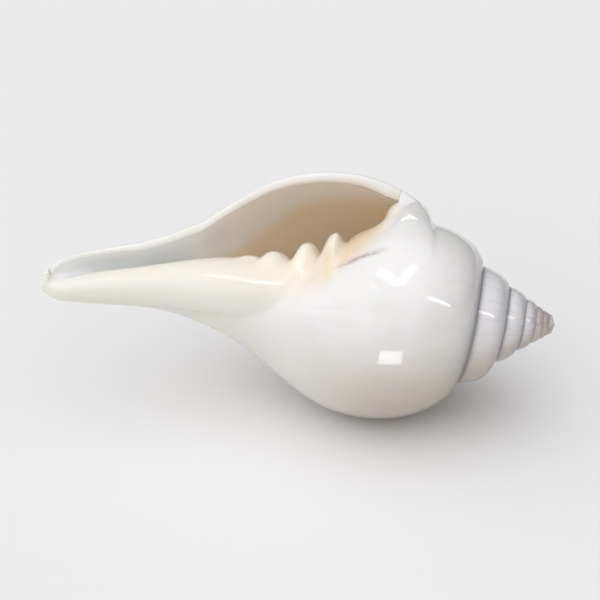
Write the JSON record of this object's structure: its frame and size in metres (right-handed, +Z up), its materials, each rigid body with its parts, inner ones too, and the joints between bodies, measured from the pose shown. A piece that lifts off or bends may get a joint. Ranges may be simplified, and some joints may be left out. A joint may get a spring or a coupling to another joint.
{
  "type": "conch shell",
  "caption": "Left-handed chank shell with a pear-shaped body, a stepped pointed spire, a wide mouth with a folded columella and a long straight canal.",
  "frame": {"origin": "bottom centre of the bounding box, at the height of the flat on the belly that the shell rests on", "axes": "+X from the tip of the canal towards the apex, +Z up, and the mouth opens towards -Y, leaning back 30 degrees"},
  "size_m": [0.151, 0.0668, 0.0678],
  "materials": {
    "polished_shell": "polished porcelain-like shell, creamy white outside, cream on the columella and tan inside the mouth"
  },
  "bodies": {
    "root": {"conch_shell": "polished_shell"}
  },
  "joints": []
}
